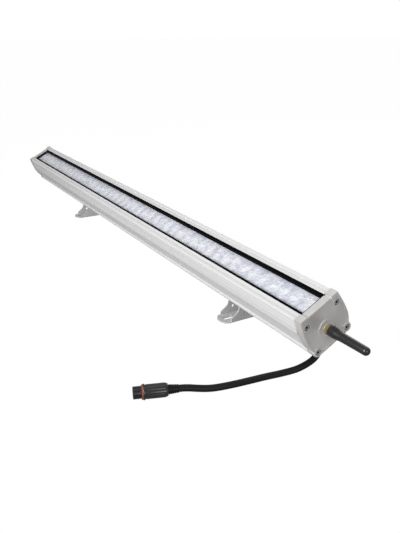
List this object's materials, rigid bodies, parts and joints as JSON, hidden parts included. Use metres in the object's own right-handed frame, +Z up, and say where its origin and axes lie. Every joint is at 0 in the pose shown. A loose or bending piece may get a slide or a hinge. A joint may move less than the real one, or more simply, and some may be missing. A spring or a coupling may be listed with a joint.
{
  "type": "outdoor wall washer light",
  "caption": "Long slim outdoor wall washer light with a glass-covered row of lenses, end caps, a stub antenna, a cable and two tilting slotted brackets.",
  "frame": {"origin": "on the floor below the middle of the whole light, cord left out", "axes": "+X along the lamp towards the antenna end, +Z up, +Y away from the side that the glass leans to"},
  "size_m": [1.06, 0.2457, 0.1148],
  "materials": {
    "aluminium": "silver anodised extrusion",
    "cap_paint": "warm grey satin paint on a casting",
    "bracket_paint": "grey satin powder coat on folded sheet",
    "steel": "plain stainless steel",
    "brass": "bright gold-plated brass",
    "gasket": "black silicone rubber",
    "cable": "black rubber sheath, satin",
    "seal": "dark red silicone ring",
    "black_plastic": "black moulded plastic",
    "cover_glass": "clear toughened glass",
    "lens": "clear moulded acrylic",
    "board": "white solder mask",
    "led": "yellow phosphor",
    "circuit": "green solder mask",
    "driver_case": "plain aluminium case",
    "lead": "insulated core"
  },
  "bodies": {
    "lamp": {"housing_profile": "aluminium", "end_cap_near": "cap_paint", "end_cap_far": "cap_paint", "cap_gasket_near": "gasket", "cap_gasket_far": "gasket", "cap_screws_near": "steel", "cap_screws_far": "steel", "glass_cover": "cover_glass", "glass_gasket": "gasket", "lens_bar_1": "lens", "lens_bar_2": "lens", "lens_bar_3": "lens", "lens_bar_4": "lens", "led_board_1": "board", "led_board_2": "board", "leds_1": "led", "leds_2": "led", "board_screws": "steel", "power_driver": "driver_case", "driver_screws": "steel", "receiver_board": "circuit", "coax_pigtail": "black_plastic", "supply_leads": "lead", "antenna_jack": "brass", "antenna_jack_washer": "brass", "antenna_jack_nut": "brass", "gland_body": "black_plastic", "gland_seal": "gasket", "gland_nut": "black_plastic", "cable_tail": "cable", "power_cable": "cable", "connector_relief": "cable", "cable_connector": "black_plastic", "connector_pins": "brass", "connector_seal_ring": "seal"},
    "antenna": {"antenna_sleeve": "black_plastic", "antenna_core": "brass"},
    "coupling_ring": {"coupling_ring": "brass"},
    "slider_near": {"slider_near": "aluminium", "clamp_screws_near": "steel"},
    "bracket_near": {"bracket_near": "bracket_paint", "pivot_bolt_near": "steel", "pivot_washers_near": "steel", "pivot_nut_near": "steel"},
    "slider_far": {"slider_far": "aluminium", "clamp_screws_far": "steel"},
    "bracket_far": {"bracket_far": "bracket_paint", "pivot_bolt_far": "steel", "pivot_washers_far": "steel", "pivot_nut_far": "steel"}
  },
  "joints": [
    {"name": "antenna_unscrew", "type": "slide", "parent": "lamp", "child": "antenna", "axis": [1, 0, 0], "range_m": [0, 0.0036]},
    {"name": "coupling_ring_spin", "type": "hinge", "parent": "antenna", "child": "coupling_ring", "pos_m": [0.47, -0.00357, 0.07158], "axis": [1, 0, 0], "range_deg": [0, 1800]},
    {"name": "slider_near_slide", "type": "slide", "parent": "lamp", "child": "slider_near", "axis": [1, 0, 0], "range_m": [-0.18, 0.08]},
    {"name": "bracket_near_tilt", "type": "hinge", "parent": "slider_near", "child": "bracket_near", "pos_m": [0.2725, 0.01295, 0.0405], "axis": [1, 0, 0], "range_deg": [-47, 103]},
    {"name": "slider_far_slide", "type": "slide", "parent": "lamp", "child": "slider_far", "axis": [1, 0, 0], "range_m": [-0.15, 0.18]},
    {"name": "bracket_far_tilt", "type": "hinge", "parent": "slider_far", "child": "bracket_far", "pos_m": [-0.305, 0.01295, 0.0405], "axis": [1, 0, 0], "range_deg": [-47, 103]}
  ],
  "couplings": [
    {"joint": "coupling_ring_spin", "follows": "antenna_unscrew", "rad_per_m": 8726.6}
  ]
}
